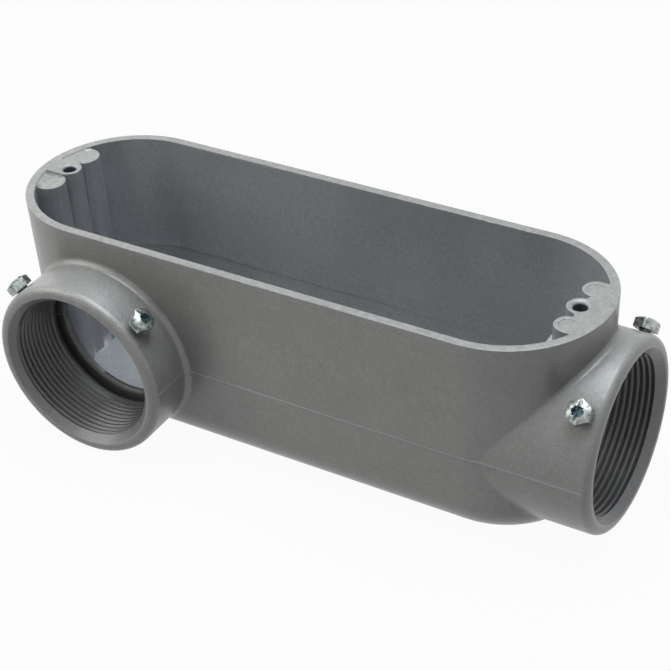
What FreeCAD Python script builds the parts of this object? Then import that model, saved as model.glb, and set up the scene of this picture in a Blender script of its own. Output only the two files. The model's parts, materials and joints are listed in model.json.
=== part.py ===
import FreeCAD, Part
import math
import os
import Sketcher
from FreeCAD import Placement, Rotation, Vector

# Conduit body, right-hand type, for 2 inch conduit or tubing: one die-cast
# shell (stadium tub, an end hub, a side hub, screw lobes at both ends) and
# four hexagon-head set screws, two in each hub.
# Frame, in millimetres: origin in the middle of the flat back, +X along the
# tub towards the end hub, the side hub faces -Y, +Z out of the open side.

doc = FreeCAD.newDocument("ConduitBody")
sheet = doc.addObject("Spreadsheet::Sheet", "Sizes")

SIZES = [
    # the tub: outline at the rim, depth, walls, draft and rounded corners
    ("width", 74.5), ("straight_half", 78.0), ("height", 82.2),
    ("wall", 3.3), ("floor_thick", 3.3), ("draft", 1.5),
    ("back_round", 16.0), ("inner_bevel", 9.0),
    # the hubs: tapped bore, wall round it, and where each stands on the tub
    ("bore_radius", 28.3), ("hub_wall", 6.8), ("hub_rise", 0.1),
    ("end_reach", 9.15), ("side_reach", 18.65), ("side_inset", 11.2),
    ("lip_bevel", 1.75), ("side_flare", 2.5), ("end_flare", 2.0),
    # inside a hub, from the mouth inwards: bevel, thread length, relief,
    # stop shoulder with a bevelled edge, and the short ring in the tub
    ("mouth_bevel", 2.8), ("mouth_depth", 3.2), ("thread_length", 25.2),
    ("relief_cut", 2.3), ("relief_length", 2.6), ("stop_step", 2.3),
    ("stop_bevel", 1.3), ("stop_length", 2.8), ("root_beyond", 7.8),
    ("ring_wall", 3.0), ("ring_reach", 12.0), ("ring_draft", 12.0),
    # cover-screw holes and the lobes that carry them
    ("cover_in", 10.85), ("cover_hole", 2.4), ("cover_depth", 15.0),
    ("cover_sink", 1.0), ("mid_lobe_half", 4.7),
    ("end_lobe_half", 4.7), ("end_lobe_offset", 11.3), ("end_lobe_in", 10.2),
    ("end_lobe_deep", 20.0), ("web_in", 0.85),
    ("far_lobe_half", 5.75), ("far_lobe_offset", 10.6), ("far_lobe_in", 9.85),
    ("far_lobe_drop", 0.45), ("lobe_draft", 1.5),
    ("pin_mark", 3.0), ("pin_depth", 0.25),
    # the set screws
    ("screw_radius", 2.42), ("screw_fit", 0.06), ("screw_back", 7.2),
    ("screw_angle", 46.0), ("screw_length", 7.3), ("gap_end_right", 2.0),
    ("gap_end_left", 1.2), ("gap_side_right", 2.4), ("gap_side_left", 0.6),
    ("tip_bevel", 0.5), ("head_flats", 7.94), ("head_height", 4.4),
    ("head_bevel", 0.6),
    ("slot_width", 1.3), ("slot_depth", 1.3),
    ("cross_span", 4.8), ("cross_width", 1.5), ("cross_depth", 2.2),
]
for row, (name, value) in enumerate(SIZES, start=1):
    sheet.set("A%d" % row, name)
    sheet.set("B%d" % row, str(value))
    sheet.setAlias("B%d" % row, name)
doc.recompute()


class Size:
    """A number that keeps the sheet expression it comes from."""

    def __init__(self, text, value):
        self.text, self.value = text, float(value)

    def join(self, sign, other, value):
        return Size("(%s %s %s)" % (self.text, sign, other.text), value)

    def __add__(self, other):
        other = size(other)
        return self.join("+", other, self.value + other.value)

    def __sub__(self, other):
        other = size(other)
        return self.join("-", other, self.value - other.value)

    def __mul__(self, other):
        other = size(other)
        return self.join("*", other, self.value * other.value)

    def __truediv__(self, other):
        other = size(other)
        return self.join("/", other, self.value / other.value)

    def __neg__(self):
        return size(0) - self

    def __rsub__(self, other):
        return size(other) - self

    __radd__, __rmul__ = __add__, __mul__


def size(value):
    return value if isinstance(value, Size) else Size(str(value), value)


class Named:
    """The sheet's sizes by name."""


S = Named()
for name, value in SIZES:
    setattr(S, name, Size("Sizes." + name, value))

HALF_WIDTH = S.width / 2
TUB_END = S.straight_half + HALF_WIDTH
HUB_RADIUS = S.bore_radius + S.hub_wall
HUB_AXIS = HUB_RADIUS + S.hub_rise
END_MOUTH = TUB_END + S.end_reach
SIDE_MOUTH = HALF_WIDTH + S.side_reach
SIDE_X = S.side_inset - S.straight_half
COVER_X = TUB_END - S.cover_in
RELIEF_END = S.thread_length + S.relief_length
HUB_LENGTH = RELIEF_END + S.stop_length
ROOT_LENGTH = HUB_LENGTH + S.root_beyond


def plane(body, role):
    return [f for f in body.Origin.OriginFeatures if f.Role == role][0]


def new_body(label):
    body = doc.addObject("PartDesign::Body", label)
    body.Label = label
    return body


def new_sketch(body, name, role, at=(0, 0, 0), turn=Rotation()):
    """A sketch on an origin plane, moved by an amount tied to the sheet."""
    sk = body.newObject("Sketcher::SketchObject", name)
    sk.AttachmentSupport = [(plane(body, role), "")]
    sk.MapMode = "FlatFace"
    at = [size(v) for v in at]
    sk.AttachmentOffset = Placement(Vector(*[v.value for v in at]), turn)
    for key, v in zip("xyz", at):
        if v.value:
            sk.setExpression("AttachmentOffset.Base." + key, v.text)
    return sk


def bind(sk, kind, args, length):
    """Adds a sizing constraint and ties it to the sheet."""
    index = sk.addConstraint(Sketcher.Constraint(kind, *args, length.value))
    sk.setExpression("Constraints[%d]" % index, length.text)


def fix_point(sk, geo, pos, x, y):
    """Ties a point's distances from the sketch origin to the sheet."""
    for kind, v, axis in (("DistanceX", size(x), -2), ("DistanceY", size(y), -1)):
        if v.value > 0:
            bind(sk, kind, (-1, 1, geo, pos), v)
        elif v.value < 0:
            bind(sk, kind, (geo, pos, -1, 1), -v)
        else:
            sk.addConstraint(Sketcher.Constraint("PointOnObject", geo, pos, axis))


def polygon(sk, points):
    """A closed outline through corners that are tied to the sheet."""
    xy = [Vector(size(a).value, size(b).value, 0) for a, b in points]
    n = len(points)
    lines = [sk.addGeometry(Part.LineSegment(xy[k], xy[(k + 1) % n]), False) for k in range(n)]
    for k in range(n):
        sk.addConstraint(Sketcher.Constraint("Coincident", lines[k], 2, lines[(k + 1) % n], 1))
        fix_point(sk, lines[k], 1, *points[k])


def circle(sk, x, y, radius):
    x, y, radius = size(x), size(y), size(radius)
    g = sk.addGeometry(Part.Circle(Vector(x.value, y.value, 0), Vector(0, 0, 1),
                                   radius.value), False)
    fix_point(sk, g, 3, x, y)
    bind(sk, "Radius", (g,), radius)


def stadium(sk, half, radius):
    """Two straight sides along X joined by half circles."""
    a, r = half.value, radius.value
    top = sk.addGeometry(Part.LineSegment(Vector(-a, r, 0), Vector(a, r, 0)), False)
    low = sk.addGeometry(Part.LineSegment(Vector(a, -r, 0), Vector(-a, -r, 0)), False)
    right = sk.addGeometry(Part.ArcOfCircle(
        Part.Circle(Vector(a, 0, 0), Vector(0, 0, 1), r), -math.pi / 2, math.pi / 2), False)
    left = sk.addGeometry(Part.ArcOfCircle(
        Part.Circle(Vector(-a, 0, 0), Vector(0, 0, 1), r), math.pi / 2, 1.5 * math.pi), False)
    for g1, p1, g2, p2 in ((top, 2, right, 2), (right, 1, low, 1),
                           (low, 2, left, 2), (left, 1, top, 1)):
        sk.addConstraint(Sketcher.Constraint("Tangent", g1, p1, g2, p2))
    sk.addConstraint(Sketcher.Constraint("Horizontal", top))
    sk.addConstraint(Sketcher.Constraint("PointOnObject", right, 3, -1))
    bind(sk, "DistanceX", (-1, 1, right, 3), half)
    bind(sk, "DistanceX", (left, 3, -1, 1), half)
    bind(sk, "Radius", (right,), radius)


def tongue(sk, tip, y, half, end):
    """A strip along X with a round tip about (tip, y), square at x = end."""
    tip, y, half, end = size(tip), size(y), size(half), size(end)
    tx, ty, w, ex = tip.value, y.value, half.value, end.value
    low = sk.addGeometry(Part.LineSegment(Vector(tx, ty - w, 0), Vector(ex, ty - w, 0)), False)
    back = sk.addGeometry(Part.LineSegment(Vector(ex, ty - w, 0), Vector(ex, ty + w, 0)), False)
    high = sk.addGeometry(Part.LineSegment(Vector(ex, ty + w, 0), Vector(tx, ty + w, 0)), False)
    out = ex > tx
    turn = (math.pi / 2, 1.5 * math.pi) if out else (-math.pi / 2, math.pi / 2)
    arc = sk.addGeometry(Part.ArcOfCircle(
        Part.Circle(Vector(tx, ty, 0), Vector(0, 0, 1), w), *turn), False)
    for g1, p1, g2, p2, kind in (
            (low, 2, back, 1, "Coincident"), (back, 2, high, 1, "Coincident"),
            (high, 2, arc, 1 if out else 2, "Tangent"),
            (arc, 2 if out else 1, low, 1, "Tangent")):
        sk.addConstraint(Sketcher.Constraint(kind, g1, p1, g2, p2))
    sk.addConstraint(Sketcher.Constraint("Horizontal", low))
    sk.addConstraint(Sketcher.Constraint("Vertical", back))
    bind(sk, "Radius", (arc,), half)
    fix_point(sk, arc, 3, tip, y)
    if ex > 0:
        bind(sk, "DistanceX", (-1, 1, back, 1), end)
    else:
        bind(sk, "DistanceX", (back, 1, -1, 1), -end)


def feature(body, kind, name, sk, **values):
    """Adds a feature whose sizes are tied to the sheet."""
    f = body.newObject("PartDesign::" + kind, name)
    if sk is not None:
        f.Profile = sk
        sk.Visibility = False
    for key, value in values.items():
        if isinstance(value, Size):
            f.setExpression(key, value.text)
        else:
            setattr(f, key, value)
    doc.recompute()
    return f


NEAR = 0.02      # how closely an edge has to lie to where it is looked for
BEYOND = 5.0     # how far a cutting shape goes past what it cuts


def edges_where(f, test):
    return ["Edge%d" % (k + 1) for k, e in enumerate(f.Shape.Edges) if test(e)]


def level_with(e, z):
    """True for an edge that lies flat at this height."""
    return abs(e.BoundBox.ZMax - z) < NEAR and abs(e.BoundBox.ZMin - z) < NEAR


# --- the casting -----------------------------------------------------------
# a drafted stadium block, rounded along its back
casting = new_body("casting")
sk = new_sketch(casting, "RimOutline", "XY_Plane", (0, 0, S.height))
stadium(sk, S.straight_half, HALF_WIDTH)
tub = feature(casting, "Pad", "Tub", sk, Length=S.height, Reversed=True, TaperAngle=-S.draft)
feature(casting, "Fillet", "BackRound", None,
        Base=(tub, edges_where(tub, lambda e: level_with(e, 0))), Radius=S.back_round)

# the two hubs: sketch plane and position, and axis and mouth in the frame
END, SIDE = "EndHub", "SideHub"
PLACES = {END: ("YZ_Plane", 0, END_MOUTH), SIDE: ("XZ_Plane", SIDE_X, SIDE_MOUTH)}
AXES = {END: (Vector(0, 0, HUB_AXIS.value), Vector(1, 0, 0), END_MOUTH.value),
        SIDE: (Vector(SIDE_X.value, 0, HUB_AXIS.value), Vector(0, -1, 0), SIDE_MOUTH.value)}


def hub_pad(name, hub, radius, behind, length, inwards, taper=0.0):
    """A disc about a hub's axis, from a distance behind its mouth plane."""
    role, x, mouth = PLACES[hub]
    sk = new_sketch(casting, name + "Outline", role, (0, 0, mouth - behind))
    circle(sk, x, HUB_AXIS, radius)
    return feature(casting, "Pad", name, sk, Length=length, Reversed=inwards, TaperAngle=taper)


def off_axis(hub, point):
    """A point's distance from a hub's axis and from its mouth plane."""
    centre, axis, mouth = AXES[hub]
    along = (point - centre).dot(axis)
    return (point - centre - axis * along).Length, mouth - along


def hub_root_edge(hub, e):
    """True for the line along which the hub's outside meets the tub."""
    places = [off_axis(hub, p) for p in e.discretize(9)]
    return (type(e.Curve).__name__ not in ("Line", "Circle") and
            all(abs(r - HUB_RADIUS.value) < NEAR and b > NEAR for r, b in places))


def ring_edge(hub, e, radius, behind):
    """True for the circle of this radius at this distance behind the mouth."""
    places = [off_axis(hub, p) for p in e.discretize(5)]
    return all(abs(r - radius.value) < NEAR and abs(b - behind.value) < NEAR
               for r, b in places)


for hub, flare in ((END, S.end_flare), (SIDE, S.side_flare)):
    solid = hub_pad(hub, hub, HUB_RADIUS, size(0), ROOT_LENGTH, True)
    roots = edges_where(solid, lambda e: hub_root_edge(hub, e))
    solid = feature(casting, "Fillet", hub + "Flare", None, Base=(solid, roots), Radius=flare)
    lips = edges_where(solid, lambda e: ring_edge(hub, e, HUB_RADIUS, size(0)))
    feature(casting, "Chamfer", hub + "Lip", None, Base=(solid, lips), Size=S.lip_bevel)

# the core that forms the inside: it leaves the wall and floor, and the screw
# lobes, which run to the floor at the far end and down to the hub at the other
core = new_body("core")
sk = new_sketch(core, "OpeningOutline", "XY_Plane", (0, 0, S.height))
stadium(sk, S.straight_half, HALF_WIDTH - S.wall)
block = feature(core, "Pad", "CoreBlock", sk, Length=S.height - S.floor_thick, Reversed=True,
                TaperAngle=-S.draft)
feature(core, "Chamfer", "CoreBevel", None, Size=S.inner_bevel,
        Base=(block, edges_where(block, lambda e: level_with(e, S.floor_thick.value))))
END_LOBE_X, FAR_LOBE_X = TUB_END - S.end_lobe_in, S.far_lobe_in - TUB_END
FAR_TOP = S.height - S.far_lobe_drop
for name, tip, y, half, end, top, deep in (
        ("EndLobeLeft", END_LOBE_X, S.end_lobe_offset, S.end_lobe_half, TUB_END, S.height,
         S.end_lobe_deep),
        ("EndLobeRight", END_LOBE_X, -S.end_lobe_offset, S.end_lobe_half, TUB_END, S.height,
         S.end_lobe_deep),
        ("EndLobeMiddle", COVER_X, size(0), S.mid_lobe_half, TUB_END, S.height,
         S.end_lobe_deep),
        ("EndLobeWeb", TUB_END - S.web_in, size(0), S.end_lobe_offset, TUB_END, S.height,
         S.end_lobe_deep),
        ("FarLobeLeft", FAR_LOBE_X, S.far_lobe_offset, S.far_lobe_half, -TUB_END, FAR_TOP,
         S.height),
        ("FarLobeRight", FAR_LOBE_X, -S.far_lobe_offset, S.far_lobe_half, -TUB_END, FAR_TOP,
         S.height),
        ("FarLobeMiddle", -COVER_X, size(0), S.mid_lobe_half, -TUB_END, S.height, S.height)):
    sk = new_sketch(core, name + "Outline", "XY_Plane", (0, 0, top))
    tongue(sk, tip, y, half, end)
    feature(core, "Pocket", name, sk, Length=deep, TaperAngle=S.lobe_draft)
solid_volume = casting.Shape.Volume
hollow = casting.newObject("PartDesign::Boolean", "Hollow")
hollow.Type = "Cut"
hollow.addObject(core)
doc.recompute()
assert solid_volume > hollow.Shape.Volume

# the end of each hub stands in the tub as a short drafted ring
for hub in (END, SIDE):
    hub_pad(hub + "Ring", hub, S.bore_radius + S.ring_wall, HUB_LENGTH, S.ring_reach, False,
            S.ring_draft)

# shallow round marks in the tops of the four blind lobes
for name, x, y, top in (("EndMarks", END_LOBE_X, S.end_lobe_offset, S.height),
                        ("FarMarks", FAR_LOBE_X, S.far_lobe_offset, FAR_TOP)):
    sk = new_sketch(casting, name + "Outline", "XY_Plane", (0, 0, top))
    circle(sk, x, y, S.pin_mark)
    circle(sk, x, -y, S.pin_mark)
    feature(casting, "Pocket", name, sk, Length=S.pin_depth)

# the bores: a bevelled mouth, the straight tapped length (its thread is left
# off), a relief, the stop shoulder and a throat with a bevelled edge
THROAT = S.bore_radius - S.stop_step
RELIEF = S.bore_radius + S.relief_cut
MOUTH = S.bore_radius + S.mouth_bevel
for hub, role, place, mouth, sign in (
        (END, "XZ_Plane", (0, HUB_AXIS, 0), END_MOUTH, 1),
        (SIDE, "YZ_Plane", (0, HUB_AXIS, SIDE_X), SIDE_MOUTH, -1)):
    sk = new_sketch(casting, hub + "BoreProfile", role, place)
    polygon(sk, [((mouth - behind) * sign, radius) for behind, radius in (
        (size(-BEYOND), size(0)), (size(-BEYOND), MOUTH), (size(0), MOUTH),
        (S.mouth_depth, S.bore_radius), (S.thread_length, S.bore_radius),
        (S.thread_length, RELIEF), (RELIEF_END, RELIEF), (RELIEF_END, THROAT),
        (ROOT_LENGTH, THROAT), (ROOT_LENGTH, size(0)))])
    bore = feature(casting, "Groove", hub + "Bore", sk, ReferenceAxis=(sk, ["H_Axis"]),
                   Angle=360.0)
    stops = edges_where(bore, lambda e: ring_edge(hub, e, THROAT, RELIEF_END))
    feature(casting, "Chamfer", hub + "Stop", None, Base=(bore, stops), Size=S.stop_bevel)

# cover-screw holes with bevelled mouths
sk = new_sketch(casting, "CoverHoleOutline", "XY_Plane", (0, 0, S.height))
for x in (COVER_X, -COVER_X):
    circle(sk, x, 0, S.cover_hole)
holes = feature(casting, "Pocket", "CoverHoles", sk, Length=S.cover_depth)
rims = edges_where(holes, lambda e: level_with(e, S.height.value) and
                   hasattr(e.Curve, "Radius") and
                   abs(e.Curve.Radius - S.cover_hole.value) < NEAR)
feature(casting, "Chamfer", "CoverSinks", None, Base=(holes, rims), Size=S.cover_sink)

# set-screw holes, two through the upper quarters of each hub
SCREWS = [("set_screw_end_right", END, 1, S.gap_end_right),
          ("set_screw_end_left", END, -1, S.gap_end_left),
          ("set_screw_side_right", SIDE, 1, S.gap_side_right),
          ("set_screw_side_left", SIDE, -1, S.gap_side_left)]


def screw_place(hub, side):
    """The hub-axis point below a set screw, and the turn to its own axis."""
    if hub == END:
        return ((END_MOUTH - S.screw_back, size(0), HUB_AXIS),
                Rotation(Vector(1, 0, 0), side * S.screw_angle.value))
    return ((SIDE_X, S.screw_back - SIDE_MOUTH, HUB_AXIS),
            Rotation(Vector(0, 1, 0), side * S.screw_angle.value))


for name, hub, side, gap in SCREWS:
    base, turn = screw_place(hub, side)
    sk = new_sketch(casting, name + "_hole_outline", "XY_Plane", base, turn)
    circle(sk, 0, 0, S.screw_radius + S.screw_fit)
    before = casting.Shape.Volume
    hole = feature(casting, "Pocket", name + "_hole", sk, Length=HUB_RADIUS + BEYOND,
                   Reversed=True)
    assert before > hole.Shape.Volume, name

# --- the set screws ---------------------------------------------------------
HEX = [(math.cos(math.radians(30 + 60 * k)), math.sin(math.radians(30 + 60 * k)))
       for k in range(6)]
pieces = [casting]
for name, hub, side, gap in SCREWS:
    body = new_body(name)
    sk = new_sketch(body, name + "_shank_outline", "XY_Plane")
    circle(sk, 0, 0, S.screw_radius)
    shank = feature(body, "Pad", name + "_shank", sk, Reversed=True, Length=S.screw_length)
    tips = edges_where(shank, lambda e: level_with(e, -S.screw_length.value))
    feature(body, "Chamfer", name + "_tip", None, Base=(shank, tips), Size=S.tip_bevel)
    sk = new_sketch(body, name + "_head_outline", "XY_Plane")
    reach = S.head_flats.value / math.sqrt(3)
    pts = [Vector(a * reach, b * reach, 0) for a, b in HEX]
    for k in range(6):
        sk.addGeometry(Part.LineSegment(pts[k], pts[(k + 1) % 6]), False)
    ring = sk.addGeometry(Part.Circle(Vector(0, 0, 0), Vector(0, 0, 1), reach), True)
    for k in range(6):
        sk.addConstraint(Sketcher.Constraint("Coincident", k, 2, (k + 1) % 6, 1))
        sk.addConstraint(Sketcher.Constraint("PointOnObject", k, 1, ring))
        if k:
            sk.addConstraint(Sketcher.Constraint("Equal", 0, k))
    sk.addConstraint(Sketcher.Constraint("Coincident", ring, 3, -1, 1))
    sk.addConstraint(Sketcher.Constraint("Vertical", 5))
    bind(sk, "Distance", (5, 1, 2), S.head_flats)
    feature(body, "Pad", name + "_head", sk, Length=S.head_height)
    tops = edges_where(body.Tip, lambda e: level_with(e, S.head_height.value))
    feature(body, "Chamfer", name + "_bevel", None, Base=(body.Tip, tops), Size=S.head_bevel)
    sk = new_sketch(body, name + "_slot_outline", "XY_Plane", (0, 0, S.head_height))
    u, w = S.head_flats, S.slot_width / 2
    polygon(sk, [(-u, -w), (u, -w), (u, w), (-u, w)])
    feature(body, "Pocket", name + "_slot", sk, Length=S.slot_depth)
    sk = new_sketch(body, name + "_cross_outline", "XY_Plane", (0, 0, S.head_height))
    u, w = S.cross_span / 2, S.cross_width / 2
    polygon(sk, [(-u, -w), (-w, -w), (-w, -u), (w, -u), (w, -w), (u, -w),
                 (u, w), (w, w), (w, u), (-w, u), (-w, w), (-u, w)])
    feature(body, "Pocket", name + "_cross", sk, Length=S.cross_depth)
    base, turn = screw_place(hub, side)
    seat = HUB_RADIUS + gap
    out = turn.multVec(Vector(0, 0, seat.value))
    body.Placement = Placement(Vector(*[b.value for b in base]) + out, turn)
    pieces.append(body)

doc.recompute()
for obj in doc.Objects:
    if "Invalid" in obj.State or "Error" in obj.State:
        raise RuntimeError("failed: " + obj.Name)
os.makedirs("parts", exist_ok=True)
for piece in pieces:
    shape = piece.Shape
    if shape.isNull() or not shape.isValid() or len(shape.Solids) != 1:
        raise RuntimeError("bad shape: %s %d" % (piece.Label, len(shape.Solids)))
    shape.exportStep("parts/%s.step" % piece.Label)
    box = shape.BoundBox
    print(piece.Label, "volume %.1f" % shape.Volume,
          "x %.2f..%.2f y %.2f..%.2f z %.2f..%.2f" % (
              box.XMin, box.XMax, box.YMin, box.YMax, box.ZMin, box.ZMax))
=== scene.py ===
import json
import math

import bmesh
import bpy
from bpy.props import FloatProperty, FloatVectorProperty, IntProperty, PointerProperty
from bpy.types import Operator, Panel, PropertyGroup
from mathutils import Matrix, Vector
from mathutils.bvhtree import BVHTree

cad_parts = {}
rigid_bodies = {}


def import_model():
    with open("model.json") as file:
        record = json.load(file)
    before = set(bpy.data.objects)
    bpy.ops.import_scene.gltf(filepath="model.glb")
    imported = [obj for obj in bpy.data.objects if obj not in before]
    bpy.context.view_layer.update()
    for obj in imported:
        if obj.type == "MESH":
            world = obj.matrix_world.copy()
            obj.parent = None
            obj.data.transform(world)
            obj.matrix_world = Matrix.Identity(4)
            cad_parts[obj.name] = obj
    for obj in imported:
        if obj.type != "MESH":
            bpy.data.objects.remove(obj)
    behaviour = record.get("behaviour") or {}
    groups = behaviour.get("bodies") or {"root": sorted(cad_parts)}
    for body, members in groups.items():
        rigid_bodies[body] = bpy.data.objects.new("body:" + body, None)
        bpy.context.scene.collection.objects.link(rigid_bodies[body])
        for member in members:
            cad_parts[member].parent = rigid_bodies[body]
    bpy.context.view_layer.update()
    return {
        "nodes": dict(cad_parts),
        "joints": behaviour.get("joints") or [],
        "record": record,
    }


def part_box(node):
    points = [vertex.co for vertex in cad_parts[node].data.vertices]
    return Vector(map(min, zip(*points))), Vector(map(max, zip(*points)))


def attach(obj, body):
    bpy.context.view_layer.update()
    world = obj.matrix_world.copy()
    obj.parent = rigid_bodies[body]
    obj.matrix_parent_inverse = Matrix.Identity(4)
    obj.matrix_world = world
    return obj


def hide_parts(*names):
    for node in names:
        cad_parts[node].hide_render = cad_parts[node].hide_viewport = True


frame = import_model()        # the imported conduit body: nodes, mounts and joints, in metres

bl_info = {
    "name": "Conduit Body",
    "version": (1, 0, 0),
    "blender": (4, 5, 0),
    "location": "3D Viewport > Sidebar > Conduit Body",
    "description": "Dresses the die-cast conduit body: tapped hubs, cast finish and set screws",
    "category": "Object",
}

MM = 0.001
LOW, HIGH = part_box("casting")
MOUNTS = {mount["name"]: mount for mount in frame["record"]["mounts"]}
SCREWS = {joint["child"]: Vector(joint["axis"]) for joint in frame["joints"]}
RIM = HIGH.z
HUB_NAMES = ("end_hub", "side_hub")
# the casting's finishes; those of the inside, the flare, the bores and the flash line carry
# painted light and shade
FINISHES = ("cast_outside", "cast_inside", "ground_rim", "tapped", "flare",
            "trimmed_flash")

# how near two places have to be to count as one
WELD = 0.002 * MM               # points that become one
TOOL_WELD = 0.001 * MM          # the same in a cutting tool
SLIVER = 0.001 * MM             # an edge too short to keep
NEAR = 0.01 * MM                # a point that lies on a surface
ON_PLANE = 1e-7                 # a point that lies on a cut
LEVEL = 1e-6                    # a point at the height of the flash, or at a mouth

# the tools that cut the hubs
TOOL_TURN = math.radians(1.0)   # keeps the tools' facets off the casting's own
SPARE_TURNS = 3                 # turns of a helix that its flat cuts take off
BEYOND = MM                     # how far a tool stands out of what it cuts
SKIM = 0.06 * MM                # what the reamer takes off the bore
TAP_OVERLAP = 0.1 * MM          # how far inside the crest the tap's outline starts
TAP_END = 1.4                   # how many pitches past the full thread the tap ends

# the casting's edges, flash and burrs
LIP_ZONE = 4 * MM               # how far behind the mouth a lip's bevel is looked for
LIP_SEGMENTS, RIM_SEGMENTS = 4, 2
LIP_CLEAR = 2 * MM              # how far behind a lip the flash stops
PROBE = 0.05 * MM               # a step off a surface, before looking outwards
RIM_CORNER = math.radians(60)   # the rim's edges are sharper than this
CAST_CREASE, SCREW_CREASE = math.radians(32), math.radians(35)
BURR_TOP, BURR_FOOT = 0.4 * MM, 1.3 * MM    # depths below the rim that a burr bends
BURR_BAND = 0.6 * MM            # how far to either side of the edge a burr bends
# place along the rim, edge, half length and push of each burr, in mm
BURRS = ((55.0, "inner", 1.6, -0.4), (69.4, "inner", 0.9, -0.35), (0.0, "outer", 3.4, -0.3))

# how a face's finish is found; a normal is told by its vertical part
FLAT_NORMAL, ROUNDED_NORMAL = 0.9, 0.3
FLASH_NORMAL, HOLE_NORMAL = 0.45, 0.5
RIM_BAND = MM                   # how far down the rim's finish can reach
MOUTH_SHARE = 0.8               # part of the mouth's rounding that gets the rim's lighter finish, as a painted highlight
CONE_SLACK = 0.15 * MM          # how far off the flare's cone its faces may lie

# the set screws
SCREW_BACK = 6 * MM             # roughly how far behind its lip a set screw stands
HEAD_SHARE = 0.9                # the head is what is wider than this share of it
BELOW_HEAD = 0.1 * MM           # the shank starts this far below the head
DOME_WIDTH, DOME_STEPS, DOME_TURN_STEPS = 1.2, 8, 72
CROSS_ABOVE, POCKET_ABOVE = 0.5 * MM, 0.4 * MM      # heights of the tools above the top
CROSS_PINCH, POCKET_PINCH = 0.55, 0.8               # how narrow a recess is at its foot
SHANK_FLAT, SHANK_STEPS = 0.12 * MM, 40             # flats and facets of the thread
SHANK_IN_HEAD, SHANK_SHORT = 0.3 * MM, 0.02 * MM    # its reach into the head, and its tip
RECESS_SHARE = 0.52             # the painted shade's radius, as a share of the cross

# the noises of the finishes: features to the metre, octaves and roughness
GRAIN, PEEL, CLOUD = (1300, 3.0, 0.6), (420, 2.0, 0.5), (38, 3.0, 0.55)
ZINC_GRAIN, PATCHES, RECESS_GRAIN = (2600, 3.0, 0.6), (620, 3.0, 0.65), (1800, 3.0, 0.6)

# the cast skin: how far each noise moves its tone, roughness and relief
GRAIN_TONE, CLOUD_TONE = 1.7, 0.7
PEEL_TONE, PEEL_TONE_ON_RIM = 0.5, 1.6
GRAIN_ROUGHNESS, CLOUD_ROUGHNESS, GRAIN_HEIGHT = 0.14, 0.12, 0.9
CAST_CONTRAST, CAST_ROUGHNESS, CAST_RELIEF, CAST_METAL = 0.2, 0.4, 0.1 * MM, 0.12
BARE_METAL = {"ground_rim": 0.3, "tapped": 0.25}
LACQUER = {"Coat Weight": 0.22, "Coat Roughness": 0.2}

# the screws' plating and the painted shade at the bottom of their recess
PATCH_STOPS = ((0.36, 0.0), (0.58, 1.0))        # where a patch ends and bright zinc starts
ZINC_METAL, ZINC_ROUGHNESS, ZINC_RELIEF = 0.9, 0.42, 0.05 * MM
BRIGHT_ROUGHNESS, FINE_ROUGHNESS = -0.18, 0.1   # what bright zinc and the grain add to it
RECESS_METAL, RECESS_ROUGHNESS, RECESS_RELIEF = 0.6, 0.3, 0.03 * MM
RECESS_DARK, RECESS_FINE_ROUGHNESS = 0.6, 0.2

# the stage
FLOOR_HALF, FLOOR_PALE, FLOOR_GLOW = 12.0, 0.42, 0.95
SKY_SEEN, SKY_LIGHT = 0.92, 0.08
SENSOR_WIDTH, NEAREST, FARTHEST = 36.0, 0.01, 50.0
COOL, WARM = (0.87, 0.945, 1.0), (1.0, 0.98, 0.95)
# name, place, width, power in watts and tint of each lamp
SOFTBOXES = (
    ("top_softbox", (0.0, 0.0, 1.2), 0.9, 11.0, COOL),
    ("back_softbox", (0.0, 0.45, 1.1), 0.9, 4.4, COOL),
    ("right_softbox", (0.35, 0.0, 1.1), 0.9, 3.5, COOL),
    ("front_softbox", (-0.6, -0.35, 0.5), 0.7, 3.6, WARM),
    ("left_softbox", (-0.9, 0.5, 0.5), 0.8, 1.2, WARM),
)


# --- sizes and colours -------------------------------------------------------
def length(name, text, default_mm):
    return FloatProperty(name=name, description=text, default=default_mm * MM,
                         min=0.0, unit="LENGTH", precision=5)


def angle(name, text, degrees):
    return FloatProperty(name=name, description=text, default=math.radians(degrees),
                         subtype="ANGLE")


def colour(name, text, value):
    return FloatVectorProperty(name=name, description=text, default=value, size=3,
                               min=0.0, max=1.0, subtype="COLOR")


class ConduitThreadSizes(PropertyGroup):
    """The tapped thread in each hub."""
    pitch: length("Pitch", "Axial distance between turns, 11.5 to the inch", 25.4 / 11.5)
    depth: length("Depth", "From crest to root at the mouth", 1.35)
    taper: length("Taper", "How much shallower the root is at the inner end", 0.45)
    crest_flat: length("Crest flat", "Width of the flat on top of a turn", 0.55)
    root_flat: length("Root flat", "Width of the flat at the bottom of a turn", 0.25)
    run: length("Run", "Length of full thread from the mouth", 22.6)
    flare: length("Flare", "How much wider the mouth is than the bore", 2.8)
    flare_depth: length("Flare depth", "How far in the flare reaches", 3.2)
    relief: length("Relief", "How far in the reamer reaches, into the relief", 26.3)
    bore: length("Bore", "How far in the turned bore reaches", 30.5)
    steps: IntProperty(name="Steps", description="Facets in one turn", default=120, min=24)


class ConduitEdgeSizes(PropertyGroup):
    """Rounded edges of the casting."""
    lip: length("Lip", "Rounding of each edge of a hub's lip", 1.2)
    mouth: length("Mouth", "Rounding of the bore's mouth", 0.35)
    rim: length("Rim", "Rounding of the rim's edges", 0.22)
    flash: length("Flash height", "Height of the line where the two dies met", 0.2)
    flash_half: length("Flash width", "Half the width of that line", 0.25)
    wall: length("Wall", "Thickness of the tub's wall", 3.3)
    draft: angle("Draft", "Slope of the tub's wall", 1.5)


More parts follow.
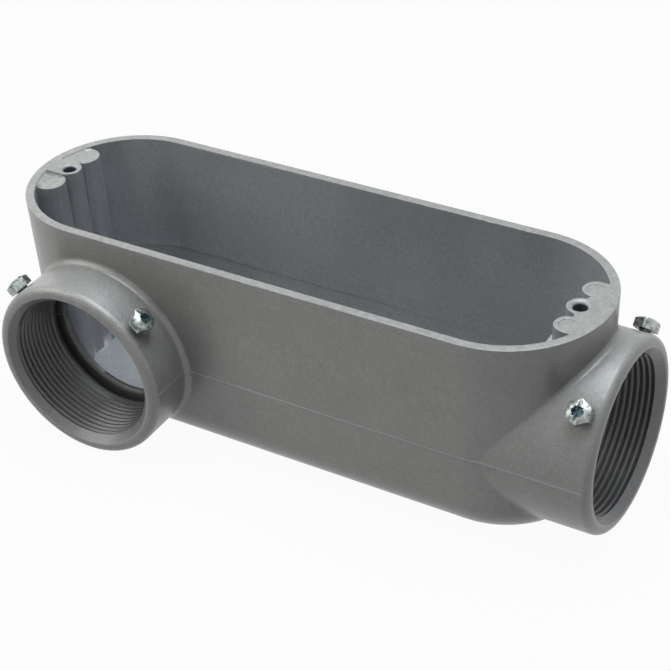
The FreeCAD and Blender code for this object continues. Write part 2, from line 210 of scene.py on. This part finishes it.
class ConduitScrewSizes(PropertyGroup):
    """Details of the set screws."""
    pitch: length("Pitch", "Pitch of the screw's own thread", 1.06)
    depth: length("Thread depth", "Depth of the screw's thread", 0.5)
    crown: length("Crown", "How far the domed top falls to the corners", 1.4)
    slot: length("Slot width", "Width of the straight slot", 1.3)
    slot_depth: length("Slot depth", "Depth of the straight slot", 1.1)
    cross: length("Cross span", "Width over the cross recess", 4.8)
    cross_width: length("Cross width", "Width of one arm of the cross recess", 1.6)
    pocket: length("Pocket", "Width of the square pocket where the arms cross", 3.4)
    pocket_depth: length("Pocket depth", "Depth of that pocket", 1.5)
    cross_depth: length("Cross depth", "Depth of the cross recess", 2.2)
    shadow: length("Shadow", "How far down the recess its dark finish starts", 0.6)
    edge: length("Edge", "Small rounding of every edge", 0.12)


class ConduitColours(PropertyGroup):
    """Colours of the finishes."""
    cast_outside: colour("Cast, outside", "Skin of the outside", (0.212, 0.209, 0.199))
    # painted light: a lighter, faintly bluish copy of the cast skin, making up for the shade
    # inside the tub
    cast_inside: colour("Cast, inside", "Skin of the inside", (0.268, 0.271, 0.282))
    ground_rim: colour("Rim", "Ground rim", (0.225, 0.225, 0.215))
    # painted shade: the cut metal of the threads, the bores and the cover screws' holes is made
    # nearly black, standing in for the shade deep in them
    tapped: colour("Tapped", "Cut threads and the bore behind them", (0.085, 0.085, 0.085))
    # painted shade: the flare is given a darker grey than the cast skin, standing in for the
    # shade on the side of each mouth that faces away from the lamps
    flare: colour("Flare", "Reamed flare at each hub's mouth", (0.15, 0.15, 0.152))
    # painted highlight: the slopes of the raised flash line are painted lighter than the skin,
    # standing in for the light that the ridge catches
    trimmed_flash: colour("Flash", "Bright line of trimmed flash", (0.36, 0.36, 0.35))
    zinc: colour("Zinc", "Plating of the set screws", (0.40, 0.43, 0.42))
    tarnish: colour("Tarnish", "Dull patches of the plating", (0.10, 0.11, 0.105))
    recess: colour("Recess", "Plating in the shadow of the recess", (0.08, 0.15, 0.17))


class ConduitStageSizes(PropertyGroup):
    """Camera, lamps and floor."""
    azimuth: angle("Azimuth", "Camera's turn about the vertical, from -Y", 33.603)
    elevation: angle("Elevation", "Camera's height above the horizon", 35.243)
    roll: angle("Roll", "Camera's turn about its own line of sight", 4.048)
    aim: FloatVectorProperty(name="Aim", description="Point on the line of sight",
                             default=(0.003385, -0.010926, 0.040145), size=3,
                             subtype="TRANSLATION")
    distance: length("Distance", "From the aim to the camera", 636.88)
    lens: FloatProperty(name="Lens", description="Focal length in mm", default=95.06)
    shift_x: FloatProperty(name="Shift X", description="Sideways framing", default=0.0461)
    shift_y: FloatProperty(name="Shift Y", description="Upward framing", default=0.0187)


# --- mesh helpers --------------------------------------------------------------
def merged_copy(node):
    """A bmesh of a CAD node's mesh with its loose triangles joined."""
    bm = bmesh.new()
    bm.from_mesh(frame["nodes"][node].data)
    bmesh.ops.remove_doubles(bm, verts=bm.verts, dist=WELD)
    bmesh.ops.dissolve_degenerate(bm, edges=bm.edges, dist=SLIVER / 2)
    return bm


def new_piece(name, bm):
    """A linked object that holds the bmesh, which is then freed."""
    mesh = bpy.data.meshes.new(name)
    bm.to_mesh(mesh)
    bm.free()
    piece = bpy.data.objects.new(name, mesh)
    bpy.context.scene.collection.objects.link(piece)
    return piece


def bake_modifiers(piece):
    """Puts what the modifiers make into the piece's own mesh."""
    graph = bpy.context.evaluated_depsgraph_get()
    done = bpy.data.meshes.new_from_object(piece.evaluated_get(graph),
                                           preserve_all_data_layers=True, depsgraph=graph)
    piece.modifiers.clear()
    old, name = piece.data, piece.data.name
    piece.data = done
    bpy.data.meshes.remove(old)
    done.name = name


def combine(piece, tool_bm, operation):
    """Cuts the piece with a closed tool shape, or keeps what both share."""
    tool = new_piece("tool", tool_bm)
    cut = piece.modifiers.new("Cut", "BOOLEAN")
    cut.operation = operation
    cut.solver = "MANIFOLD"
    cut.object = tool
    bake_modifiers(piece)
    mesh = tool.data
    bpy.data.objects.remove(tool)
    bpy.data.meshes.remove(mesh)
    bm = bmesh.new()
    bm.from_mesh(piece.data)
    bmesh.ops.remove_doubles(bm, verts=bm.verts, dist=WELD)
    bmesh.ops.dissolve_degenerate(bm, edges=bm.edges, dist=SLIVER)
    whole = bool(bm.faces) and all(edge.is_manifold for edge in bm.edges)
    bm.to_mesh(piece.data)
    piece.data.materials.clear()        # the solver adds empty slots
    bm.free()
    if not whole:
        raise RuntimeError("the cut left " + piece.name + " open or empty")


def shade(piece, crease):
    """Smooth shading, but for creases where faces meet at more than this angle."""
    mesh = piece.data
    for polygon in mesh.polygons:
        polygon.use_smooth = True
    mesh.set_sharp_from_angle(angle=crease)
    normals = piece.modifiers.new("Normals", "WEIGHTED_NORMAL")
    normals.mode = "FACE_AREA_WITH_ANGLE"
    normals.weight = 100
    normals.keep_sharp = True
    bake_modifiers(piece)


def round_edges(bm, edges, offset, segments):
    """Rounds the edges; there have to be some."""
    if not edges:
        raise RuntimeError("there are no edges to round")
    bmesh.ops.bevel(bm, geom=edges, offset=offset, offset_type="OFFSET", segments=segments,
                    profile=0.5, affect="EDGES", clamp_overlap=True, material=-1)


def cut_through(bm, geom, point, normal):
    """Splits the faces along a plane and keeps both sides."""
    bmesh.ops.bisect_plane(bm, geom=geom, plane_co=point, plane_no=normal, dist=ON_PLANE)


def wind(outline, fall, angle, steps, closed):
    """A bmesh turned about Z from (radius, height) pairs, falling at each step."""
    bm = bmesh.new()
    chain = [bm.verts.new((radius, 0.0, height)) for radius, height in outline]
    edges = [bm.edges.new(pair) for pair in zip(chain, chain[1:])]
    bmesh.ops.spin(bm, geom=chain + edges, cent=(0, 0, 0), axis=(0, 0, 1),
                   dvec=(0, 0, -fall), angle=angle, steps=steps, use_merge=closed)
    bmesh.ops.remove_doubles(bm, verts=bm.verts, dist=TOOL_WELD)
    return bm


def lathe(outline, steps):
    """A closed solid turned about Z from (radius, height) pairs."""
    bm = wind(outline, 0.0, 2 * math.pi, steps, True)
    bmesh.ops.recalc_face_normals(bm, faces=bm.faces)
    return bm


def helix_solid(outline, pitch, top, bottom, steps):
    """A closed screw-like solid about Z: one pitch of outline, as (radius, height)
    pairs, is wound from above the top to below the bottom and cut flat there."""
    turns = math.ceil((top - bottom) / pitch) + SPARE_TURNS
    start = top + SPARE_TURNS / 2 * pitch
    bm = wind([(radius, start - height) for radius, height in outline], pitch / steps,
              2 * math.pi * turns, steps * turns, False)
    for height, side in ((top, 1), (bottom, -1)):
        bmesh.ops.bisect_plane(bm, geom=bm.verts[:] + bm.edges[:] + bm.faces[:],
                               plane_co=(0, 0, height), plane_no=(0, 0, side),
                               clear_outer=True)
    rims = [edge for edge in bm.edges if edge.is_boundary]
    bmesh.ops.holes_fill(bm, edges=rims, sides=0)
    bmesh.ops.recalc_face_normals(bm, faces=bm.faces)
    return bm


def block(size_x, size_y, low, high, pinch=1.0):
    """A box about Z between two heights, its foot drawn in by a share."""
    bm = bmesh.new()
    bmesh.ops.create_cube(bm, size=1.0)
    for vert in bm.verts:
        share = 1.0 if vert.co.z > 0 else pinch
        vert.co = Vector((vert.co.x * size_x * share, vert.co.y * size_y * share,
                          high if vert.co.z > 0 else low))
    return bm


def along_and_off(point, origin, axis):
    """How far along an axis a point lies, and how far off it."""
    step = point - origin
    along = step.dot(axis)
    return along, (step - axis * along).length


def standing_on(origin, axis):
    """The matrix that puts a shape made about Z onto an axis."""
    return Matrix.Translation(origin) @ axis.to_track_quat("Z", "Y").to_matrix().to_4x4()


# --- hubs ------------------------------------------------------------------------
class Hub:
    """Where a hub's bore lies: its mouth, outward axis and crest radius."""

    def __init__(self, name):
        mount = MOUNTS[name]
        self.axis = Vector(mount["axis"]).normalized()
        place = Vector(mount["pos_m"])
        reach = max((corner - place).dot(self.axis) for corner in (LOW, HIGH))
        self.mouth = place + self.axis * reach
        self.crest = mount["dims"]["r_mm"] * MM
        self.matrix = standing_on(self.mouth, self.axis) @ Matrix.Rotation(TOOL_TURN, 4, "Z")

    def ring(self, point):
        """A point's distance from the axis, and how far behind the mouth it is."""
        along, radius = along_and_off(point, self.mouth, self.axis)
        return radius, -along


HUBS = {name: Hub(name) for name in HUB_NAMES}


def reamer(hub, sizes, rounding):
    """The shape that cleans a hub's bore and flared mouth, with a rounded edge."""
    crest, mouth = hub.crest + SKIM, hub.crest + sizes.flare + SKIM
    slant = Vector((-sizes.flare, -sizes.flare_depth)).normalized() * rounding
    bm = lathe([(0, BEYOND), (mouth + rounding, BEYOND), (mouth + rounding, 0),
                (mouth + (rounding + slant.x) / 4, slant.y / 4),
                (mouth + slant.x, slant.y), (crest, -sizes.flare_depth),
                (crest, -sizes.relief), (0, -sizes.relief)], sizes.steps)
    bmesh.ops.transform(bm, matrix=hub.matrix, verts=bm.verts)
    return bm


def thread_tap(hub, sizes):
    """The shape that a tap cuts from a hub's bore, starting a little inside its crest.
    The roots grow out of the flare, get shallower inwards and run out at the end."""
    inside = hub.crest - TAP_OVERLAP
    root = hub.crest + sizes.depth
    slope = (sizes.pitch - sizes.crest_flat - sizes.root_flat) / 2 / sizes.depth
    rise = (root - inside) * slope
    outline = [(inside, 0.0), (root, rise), (root, rise + sizes.root_flat),
               (inside, 2 * rise + sizes.root_flat), (inside, sizes.pitch)]
    bm = helix_solid(outline, sizes.pitch, sizes.pitch, -sizes.run - TAP_END * sizes.pitch,
                     sizes.steps)
    for vert in bm.verts:
        radius = vert.co.xy.length
        if radius < inside + NEAR:
            continue
        depth = -vert.co.z
        keep = 1 - sizes.taper * max(depth, 0) / sizes.run / sizes.depth
        keep *= min(1.0, max(0.0, (sizes.run + sizes.pitch - depth) / sizes.pitch))
        keep *= min(1.0, max(0.0, (depth - sizes.flare_depth / 2) / sizes.pitch))
        scale = (inside + (radius - inside) * keep) / radius
        vert.co.x *= scale
        vert.co.y *= scale
    bmesh.ops.transform(bm, matrix=hub.matrix, verts=bm.verts)
    return bm


# --- the casting -------------------------------------------------------------------
def lip_edges(bm, hub):
    """The whole circles at both edges of the bevel round a hub's lip."""
    outer = max(hub.ring(v.co)[0] for v in bm.verts if hub.ring(v.co)[1] < LIP_ZONE)
    bevel = min(b for r, b in (hub.ring(v.co) for v in bm.verts) if r > outer - 2 * NEAR)
    found = []
    for edge in bm.edges:
        (r1, b1), (r2, b2) = (hub.ring(v.co) for v in edge.verts)
        on_side = min(r1, r2) > outer - 2 * NEAR and max(b1, b2) < bevel + 2 * NEAR
        on_face = max(b1, b2) < NEAR and min(r1, r2) > outer - bevel - PROBE
        if on_side or on_face:
            found.append(edge)
    return found


def rim_edges(bm):
    """The edges between the flat rim and what falls away from it."""
    found = []
    for edge in bm.edges:
        if min(v.co.z for v in edge.verts) < RIM - NEAR / 2 or len(edge.link_faces) != 2:
            continue
        if edge.calc_face_angle() > RIM_CORNER:
            found.append(edge)
    return found


def raise_flash(bm, sizes):
    """Raises the thin line round the outside where the two dies met."""
    level = HUBS["end_hub"].mouth.z
    for height in (level - sizes.flash_half, level, level + sizes.flash_half):
        cut_through(bm, bm.verts[:] + bm.edges[:] + bm.faces[:], (0, 0, height), (0, 0, 1))
    bm.normal_update()
    tree = BVHTree.FromBMesh(bm)
    for vert in [v for v in bm.verts if abs(v.co.z - level) < LEVEL]:
        out = Vector((vert.normal.x, vert.normal.y, 0)).normalized()
        lip = min(hub.ring(vert.co)[1] for hub in HUBS.values())
        if lip > LIP_CLEAR and tree.ray_cast(vert.co + out * PROBE, out)[0] is None:
            vert.co += out * sizes.flash


def add_burr(bm, place, half, push):
    """Pushes a short length of the rim's edge sideways, as a burr left by the trim."""
    def on_edge(vert):
        return vert.co.z > RIM - BURR_TOP and abs(vert.co.y - place.y) < BURR_BAND

    cuts = [((0, 0, RIM - BURR_FOOT), (0, 0, 1))]
    cuts += [((place.x + share * half, 0, 0), (1, 0, 0)) for share in (-1, -0.5, 0, 0.5, 1)]
    for point, normal in cuts:
        near = [face for face in bm.faces if any(on_edge(vert) for vert in face.verts)]
        geom = {item for face in near for item in (face, *face.edges, *face.verts)}
        cut_through(bm, list(geom), point, normal)
    for vert in filter(on_edge, bm.verts):
        vert.co.y += push * max(0.0, 1 - ((vert.co.x - place.x) / half) ** 2)


def hub_finish(centre, normal, threads, edges):
    """The finish of a face in a hub's mouth or bore; none for any other face."""
    for hub in HUBS.values():
        radius, behind = hub.ring(centre)
        towards = normal.dot(hub.mouth - hub.axis * behind - centre)
        wider = radius - hub.crest - threads.flare
        if behind < LEVEL or behind > threads.bore or wider > edges.mouth \
                or towards < 0 and radius > hub.crest:
            continue
        # painted highlight: the outer part of each mouth's rounding takes the rim's lighter
        # finish, a bright line along the mouth's edge
        if behind < edges.mouth * MOUTH_SHARE:
            return "ground_rim"
        # painted shade: the flare takes its darker finish, the bore behind it the nearly black
        # one
        cone = -threads.flare * behind / threads.flare_depth
        return "flare" if behind < threads.flare_depth and wider < cone + CONE_SLACK \
            else "tapped"
    return None


def sort_finishes(piece, threads, edges):
    """Gives each face of the casting its finish, by the surface it belongs to; some finishes
    carry painted light and shade: a lighter inside, a darker flare, dark bores and holes, and
    bright lines at the flash and the mouths.
    """
    half_width, level = HIGH.y, HUBS["end_hub"].mouth.z
    straight = -LOW.x - half_width
    holes = MOUNTS["cover_screws"]["dims"]
    for polygon in piece.data.polygons:
        centre, normal = polygon.center, polygon.normal
        reach = math.hypot(max(0.0, abs(centre.x) - straight), centre.y)
        middle = half_width - (RIM - centre.z) * math.tan(edges.draft) - edges.wall / 2
        inside = reach < middle and centre.z > edges.wall / 2
        at_rim = centre.z > RIM - RIM_BAND
        hole = math.hypot(abs(centre.x) - holes["spacing_x_mm"] / 2 * MM, centre.y)
        in_hole = inside and hole < holes["hole_r_mm"] * MM and normal.z < HOLE_NORMAL
        bore = hub_finish(centre, normal, threads, edges)
        # the bores and the cover screws' holes get the nearly black finish, painted shade over
        # the cut metal
        if bore or in_hole:
            finish = bore or "tapped"
        # the inside takes the lighter copy of the skin, painted light
        elif inside and not (at_rim and normal.z > FLAT_NORMAL):
            finish = "cast_inside"
        elif at_rim and normal.z > ROUNDED_NORMAL:
            finish = "ground_rim"
        # painted highlight on the slopes of the raised flash line
        elif abs(centre.z - level) < edges.flash_half \
                and FLASH_NORMAL < abs(normal.z) < FLAT_NORMAL:
            finish = "trimmed_flash"
        else:
            finish = "cast_outside"
        polygon.material_index = FINISHES.index(finish)


class CONDUIT_OT_casting(Operator):
    """The die-cast shell with its tapped hubs and rounded edges"""
    bl_idname = "conduit_body.casting"
    bl_label = "Casting"

    def execute(self, context):
        scene = context.scene
        edges, threads = scene.conduit_edges, scene.conduit_threads
        bm = merged_copy("casting")
        for hub in HUBS.values():
            round_edges(bm, lip_edges(bm, hub), edges.lip, LIP_SEGMENTS)
        round_edges(bm, rim_edges(bm), edges.rim, RIM_SEGMENTS)
        raise_flash(bm, edges)
        sides = {"inner": HIGH.y - edges.wall, "outer": -HIGH.y}
        for x, side, half, push in BURRS:
            add_burr(bm, Vector((x * MM, sides[side], RIM)), half * MM, push * MM)
        casting = new_piece("casting_shell", bm)
        for hub in HUBS.values():
            combine(casting, reamer(hub, threads, edges.mouth), "DIFFERENCE")
        for hub in HUBS.values():
            combine(casting, thread_tap(hub, threads), "DIFFERENCE")
        shade(casting, CAST_CREASE)
        for name in FINISHES:
            casting.data.materials.append(cast_metal(name, scene.conduit_colours))
        sort_finishes(casting, threads, edges)
        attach(casting, "casting")
        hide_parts("casting")
        return {"FINISHED"}


# --- the set screws -------------------------------------------------------------------
class ScrewPlace:
    """Where a set screw sits and the size of its head and shank."""

    def __init__(self, node):
        self.axis = SCREWS[node].normalized()
        low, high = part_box(node)
        centre = (low + high) / 2
        hub = min(HUBS.values(), key=lambda h: abs(h.ring(centre)[1] - SCREW_BACK))
        self.base = hub.mouth + hub.axis * (centre - hub.mouth).dot(hub.axis)
        places = [along_and_off(vert.co, self.base, self.axis)
                  for vert in frame["nodes"][node].data.vertices]
        self.tip = min(along for along, radius in places)
        self.top = max(along for along, radius in places)
        self.corner = max(radius for along, radius in places)
        self.seat = min(along for along, radius in places
                        if radius > HEAD_SHARE * self.corner)
        self.shank = max(radius for along, radius in places
                         if along < self.seat - BELOW_HEAD)
        self.matrix = standing_on(self.base, self.axis)


def screw_head(name, place, sizes):
    """Hexagon head: domed top, straight slot, cross recess and square pocket."""
    bm = bmesh.new()
    height = place.top - place.seat
    bmesh.ops.create_cone(bm, cap_ends=True, segments=6, radius1=place.corner,
                          radius2=place.corner, depth=height)
    bmesh.ops.translate(bm, vec=(0, 0, place.seat + height / 2), verts=bm.verts)
    head = new_piece(name, bm)
    wide = place.corner * DOME_WIDTH
    dome = []
    for step in range(DOME_STEPS + 1):
        inwards = 1 - step / DOME_STEPS
        dome.append((wide * inwards,
                     place.top - sizes.crown * (wide / place.corner * inwards) ** 2))
    combine(head, lathe([(0, place.seat - BEYOND), (wide, place.seat - BEYOND)] + dome,
                        DOME_TURN_STEPS), "INTERSECT")
    combine(head, block(sizes.slot, 3 * place.corner, place.top - sizes.slot_depth,
                        place.top + BEYOND), "DIFFERENCE")
    foot = place.top - sizes.cross_depth
    for across in ((sizes.cross, sizes.cross_width), (sizes.cross_width, sizes.cross)):
        combine(head, block(*across, foot, place.top + CROSS_ABOVE, CROSS_PINCH),
                "DIFFERENCE")
    combine(head, block(sizes.pocket, sizes.pocket, place.top - sizes.pocket_depth,
                        place.top + POCKET_ABOVE, POCKET_PINCH), "DIFFERENCE")
    return head


def screw_thread(place, sizes):
    """The threaded shank, from just inside the head to the tip."""
    root = place.shank - sizes.depth
    half = (sizes.pitch - 2 * SHANK_FLAT) / 2
    outline = [(place.shank, 0.0), (place.shank, SHANK_FLAT), (root, SHANK_FLAT + half),
               (root, 2 * SHANK_FLAT + half), (place.shank, sizes.pitch)]
    return helix_solid(outline, sizes.pitch, place.seat + SHANK_IN_HEAD,
                       place.tip + SHANK_SHORT, SHANK_STEPS)


def join_thread(screw, thread, matrix):
    """Adds the thread to the screw's mesh and puts both in their place."""
    shank = bpy.data.meshes.new("shank")
    thread.to_mesh(shank)
    thread.free()
    bm = bmesh.new()
    bm.from_mesh(screw.data)
    bm.from_mesh(shank)
    bpy.data.meshes.remove(shank)
    bmesh.ops.transform(bm, matrix=matrix, verts=bm.verts)
    bm.to_mesh(screw.data)
    bm.free()


def darken_recess(screw, place, sizes):
    """Gives the faces down in the head's recess the second finish, the painted shade of the
    recess.
    """
    for polygon in screw.data.polygons:
        along, radius = along_and_off(polygon.center, place.base, place.axis)
        deep = place.seat < along < place.top - sizes.shadow
        polygon.material_index = int(deep and radius < sizes.cross * RECESS_SHARE)


class CONDUIT_OT_set_screws(Operator):
    """The four set screws, each with a recessed hexagon head and a cut thread"""
    bl_idname = "conduit_body.set_screws"
    bl_label = "Set screws"

    def execute(self, context):
        sizes = context.scene.conduit_screws
        colours = context.scene.conduit_colours
        finishes = zinc_plate(colours), recess_shadow(colours)
        for node in SCREWS:
            place = ScrewPlace(node)
            screw = screw_head(node + "_dressed", place, sizes)
            edge = screw.modifiers.new("Edges", "BEVEL")
            edge.width, edge.segments, edge.limit_method = sizes.edge, 2, "ANGLE"
            bake_modifiers(screw)
            join_thread(screw, screw_thread(place, sizes), place.matrix)
            shade(screw, SCREW_CREASE)
            for finish in finishes:
                screw.data.materials.append(finish)
            darken_recess(screw, place, sizes)
            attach(screw, node)
            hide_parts(node)
        return {"FINISHED"}


# --- materials ---------------------------------------------------------------------
class Signal:
    """A material socket; arithmetic on it adds Math nodes."""

    def __init__(self, tree, socket=None):
        self.tree, self.socket = tree, socket

    def node(self, kind, settings=None, inputs=None, output=0):
        """Adds a node: its settings first, then values or links for its sockets."""
        made = self.tree.nodes.new(kind)
        for key, value in (settings or {}).items():
            if key == "stops":
                ramp = made.color_ramp
                for stop, (place, grey) in zip(ramp.elements, value):
                    stop.position, stop.color = place, (*[grey] * 3, 1.0)
            else:
                setattr(made, key, value)
        for key, value in (inputs or {}).items():
            if isinstance(value, Signal):
                self.tree.links.new(value.socket, made.inputs[key])
            else:
                made.inputs[key].default_value = value
        return Signal(self.tree, made.outputs[output] if made.outputs else None)

    def output(self, key):
        """Another output of the node that this socket belongs to."""
        return Signal(self.tree, self.socket.node.outputs[key])

    def math(self, operation, first, second=0.0, clamp=False):
        return self.node("ShaderNodeMath", {"operation": operation, "use_clamp": clamp},
                         {0: first, 1: second})

    def __add__(self, other):
        return self.math("ADD", self, other)

    def __sub__(self, other):
        return self.math("SUBTRACT", self, other)

    def __rsub__(self, other):
        return self.math("SUBTRACT", other, self)

    def __mul__(self, other):
        return self.math("MULTIPLY", self, other)

    __radd__, __rmul__ = __add__, __mul__

    def noise(self, scale, octaves, roughness):
        """Noise over object space, centred on one half, with features 1/scale m wide."""
        place = self.node("ShaderNodeTexCoord", output="Object")
        return self.node("ShaderNodeTexNoise", {}, {"Vector": place, "Scale": scale,
                                                    "Detail": octaves, "Roughness": roughness})

    def mix(self, factor, first, second):
        """A colour between two others."""
        return self.node("ShaderNodeMix", {"data_type": "RGBA"},
                         {0: factor, 6: first, 7: second}, output=2)


def paint(rgb, share=1.0):
    """A colour made darker or lighter by a share, with full alpha."""
    return (*[channel * share for channel in rgb], 1.0)


def new_material(name):
    """A material with nothing in it yet, and a signal to build it from."""
    material = bpy.data.materials.new(name)
    material.use_nodes = True
    material.node_tree.nodes.clear()
    return material, Signal(material.node_tree)


def finish_material(build, settings, base, roughness, height, distance):
    """The surface: constants on the shader itself, varying parts linked to it."""
    bump = build.node("ShaderNodeBump", {}, {"Height": height, "Strength": 1.0,
                                             "Distance": distance})
    shader = build.node("ShaderNodeBsdfPrincipled", {}, {
        **settings, "Base Color": base, "Roughness": roughness, "Normal": bump})
    build.node("ShaderNodeOutputMaterial", {}, {"Surface": shader})


def cast_metal(name, colours):
    """Die-cast aluminium under a thin grey lacquer, with a fine orange-peel grain; the lighter
    inside, the darker flare and bores and the bright flash line carry painted light and shade
    in their colours.
    """
    material, build = new_material(name)
    grain, peel, cloud = build.noise(*GRAIN), build.noise(*PEEL), build.noise(*CLOUD)
    peel_tone = PEEL_TONE_ON_RIM if name == "ground_rim" else PEEL_TONE
    tone = (grain - 0.5) * GRAIN_TONE + (peel - 0.5) * peel_tone \
        + (cloud - 0.5) * CLOUD_TONE + 0.5
    light = getattr(colours, name)
    base = build.mix(tone, paint(light, 1 - CAST_CONTRAST), paint(light, 1 + CAST_CONTRAST))
    roughness = (cloud - 0.5) * CLOUD_ROUGHNESS + (grain - 0.5) * GRAIN_ROUGHNESS \
        + CAST_ROUGHNESS
    metallic = BARE_METAL.get(name, CAST_METAL)
    finish_material(build, {"Metallic": metallic, **LACQUER}, base, roughness,
                    grain * GRAIN_HEIGHT + peel, CAST_RELIEF)
    return material


def zinc_plate(colours):
    """Zinc plating with dull patches, faintly blue."""
    material, build = new_material("zinc_plate")
    fine, patch = build.noise(*ZINC_GRAIN), build.noise(*PATCHES)
    bright = build.node("ShaderNodeValToRGB", {"stops": PATCH_STOPS}, {0: patch})
    base = build.mix(bright, paint(colours.tarnish), paint(colours.zinc))
    roughness = bright * BRIGHT_ROUGHNESS + fine * FINE_ROUGHNESS + ZINC_ROUGHNESS
    finish_material(build, {"Metallic": ZINC_METAL}, base, roughness, fine + patch,
                    ZINC_RELIEF)
    return material


def recess_shadow(colours):
    """Painted shade: the dark bottom of a screw's recess."""
    material, build = new_material("recess_shadow")
    fine = build.noise(*RECESS_GRAIN)
    base = build.mix(fine, paint(colours.recess, RECESS_DARK), paint(colours.recess))
    finish_material(build, {"Metallic": RECESS_METAL}, base,
                    fine * RECESS_FINE_ROUGHNESS + RECESS_ROUGHNESS, fine, RECESS_RELIEF)
    return material


# --- the stage -----------------------------------------------------------------------
def seen_directly(build):
    """One for camera, mirror and see-through rays, which get the plain white."""
    camera = build.node("ShaderNodeLightPath", output="Is Camera Ray")
    mirror, through = camera.output("Is Glossy Ray"), camera.output("Is Transmission Ray")
    return build.math("ADD", camera + mirror, through, clamp=True)


def white_floor():
    """Pale floor that reads as white and keeps the faint shadow of the object."""
    material, build = new_material("floor_white")
    pale = build.node("ShaderNodeBsdfDiffuse", {}, {"Color": paint([FLOOR_PALE] * 3)})
    glow = build.node("ShaderNodeEmission", {}, {"Color": (1, 1, 1, 1), "Strength": 1.0})
    mixed = build.node("ShaderNodeMixShader", {}, {0: seen_directly(build) * FLOOR_GLOW,
                                                   1: pale, 2: glow})
    build.node("ShaderNodeOutputMaterial", {}, {"Surface": mixed})
    return material


def light_sky(scene):
    """A sky that is dim as a light but white where it is seen directly."""
    world = scene.world or bpy.data.worlds.new("world")
    scene.world = world
    world.use_nodes = True
    world.node_tree.nodes.clear()
    build = Signal(world.node_tree)
    strength = seen_directly(build) * SKY_SEEN + SKY_LIGHT
    sky = build.node("ShaderNodeBackground", {}, {"Color": (1, 1, 1, 1),
                                                  "Strength": strength})
    build.node("ShaderNodeOutputWorld", {}, {"Surface": sky})


def add_lamp(name, place, size, power, tint):
    """A round softbox turned towards the middle of the object."""
    data = bpy.data.lights.new(name, "AREA")
    data.shape, data.size, data.energy, data.color = "DISK", size, power, tint
    lamp = bpy.data.objects.new(name, data)
    lamp.location = place
    lamp.rotation_mode = "QUATERNION"
    middle = Vector((0, 0, RIM / 2))
    lamp.rotation_quaternion = (middle - Vector(place)).to_track_quat("-Z", "Y")
    bpy.context.scene.collection.objects.link(lamp)


def place_camera(scene, stage):
    """The camera, from the direction and distance that it looks from."""
    data = bpy.data.cameras.new("camera")
    data.lens, data.sensor_width = stage.lens, SENSOR_WIDTH
    data.shift_x, data.shift_y = stage.shift_x, stage.shift_y
    data.clip_start, data.clip_end = NEAREST, FARTHEST
    camera = bpy.data.objects.new("camera", data)
    az, el = stage.azimuth, stage.elevation
    back = Vector((math.sin(az) * math.cos(el), -math.cos(az) * math.cos(el), math.sin(el)))
    turn = (-back).to_track_quat("-Z", "Y").to_matrix() @ Matrix.Rotation(-stage.roll, 3, "Z")
    camera.matrix_world = Matrix.Translation(Vector(stage.aim) + back * stage.distance) @ \
        turn.to_4x4()
    scene.collection.objects.link(camera)
    scene.camera = camera


class CONDUIT_OT_stage(Operator):
    """The floor, the soft lamps and the camera"""
    bl_idname = "conduit_body.stage"
    bl_label = "Stage"

    def execute(self, context):
        scene = context.scene
        bm = bmesh.new()
        bmesh.ops.create_grid(bm, x_segments=1, y_segments=1, size=FLOOR_HALF)
        floor = new_piece("floor", bm)
        floor.data.materials.append(white_floor())
        light_sky(scene)
        for softbox in SOFTBOXES:
            add_lamp(*softbox)
        place_camera(scene, scene.conduit_stage)
        scene.view_settings.view_transform = "Standard"
        return {"FINISHED"}


class CONDUIT_PT_panel(Panel):
    """Lists the operators in the sidebar"""
    bl_idname = "CONDUIT_PT_panel"
    bl_label = "Conduit Body"
    bl_space_type = "VIEW_3D"
    bl_region_type = "UI"
    bl_category = "Conduit Body"

    def draw(self, context):
        for operator in OPERATORS:
            self.layout.operator(operator.bl_idname)


SETTINGS = {
    "conduit_threads": ConduitThreadSizes, "conduit_edges": ConduitEdgeSizes,
    "conduit_screws": ConduitScrewSizes, "conduit_colours": ConduitColours,
    "conduit_stage": ConduitStageSizes,
}
OPERATORS = (CONDUIT_OT_casting, CONDUIT_OT_set_screws, CONDUIT_OT_stage)
CLASSES = (*SETTINGS.values(), *OPERATORS, CONDUIT_PT_panel)


def register():
    for cls in CLASSES:
        bpy.utils.register_class(cls)
    for name, group in SETTINGS.items():
        setattr(bpy.types.Scene, name, PointerProperty(type=group))


def unregister():
    for name in SETTINGS:
        delattr(bpy.types.Scene, name)
    for cls in reversed(CLASSES):
        bpy.utils.unregister_class(cls)


def main():
    register()
    bpy.ops.conduit_body.casting()
    bpy.ops.conduit_body.set_screws()
    bpy.ops.conduit_body.stage()


if __name__ == "__main__":
    main()
